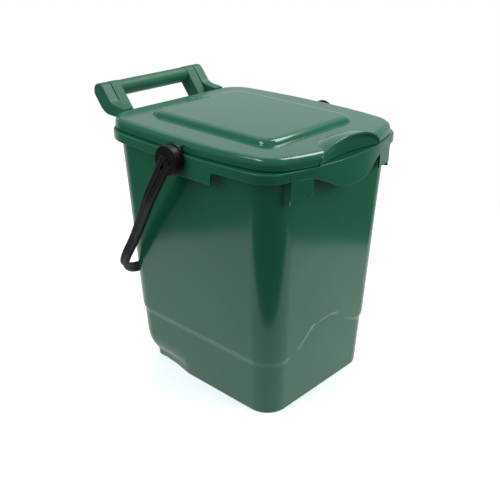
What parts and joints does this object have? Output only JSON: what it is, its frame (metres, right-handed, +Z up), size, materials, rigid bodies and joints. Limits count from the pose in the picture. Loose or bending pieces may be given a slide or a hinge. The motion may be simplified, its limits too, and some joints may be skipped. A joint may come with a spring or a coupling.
{
  "type": "food waste caddy",
  "caption": "Tapered kerbside food waste bin with a hinged lid, a rear bar handle and a strap carry handle that swings over the lid.",
  "frame": {"origin": "middle of the bin's flat base, straight below the carry handle's pivots", "axes": "+Z up, -Y towards the front with the finger hood, X along the lid's hinge and the carry handle's pivots"},
  "size_m": [0.3236, 0.3954, 0.4039],
  "materials": {
    "green_bin": "satin moulded polypropylene",
    "green_lid": "satin moulded polypropylene, a little glossier",
    "black_handle": "satin black moulded plastic"
  },
  "bodies": {
    "body": {"bin_body": "green_bin"},
    "lid": {"lid": "green_lid"},
    "carry_handle": {"carry_handle": "black_handle"}
  },
  "joints": [
    {"name": "lid_hinge", "type": "hinge", "parent": "body", "child": "lid", "pos_m": [0, 0.2091, 0.3919], "axis": [-1, 0, 0], "range_deg": [0, 265]},
    {"name": "handle_swing", "type": "hinge", "parent": "body", "child": "carry_handle", "pos_m": [0, 0, 0.3506], "axis": [1, 0, 0], "range_deg": [0, 290]}
  ]
}
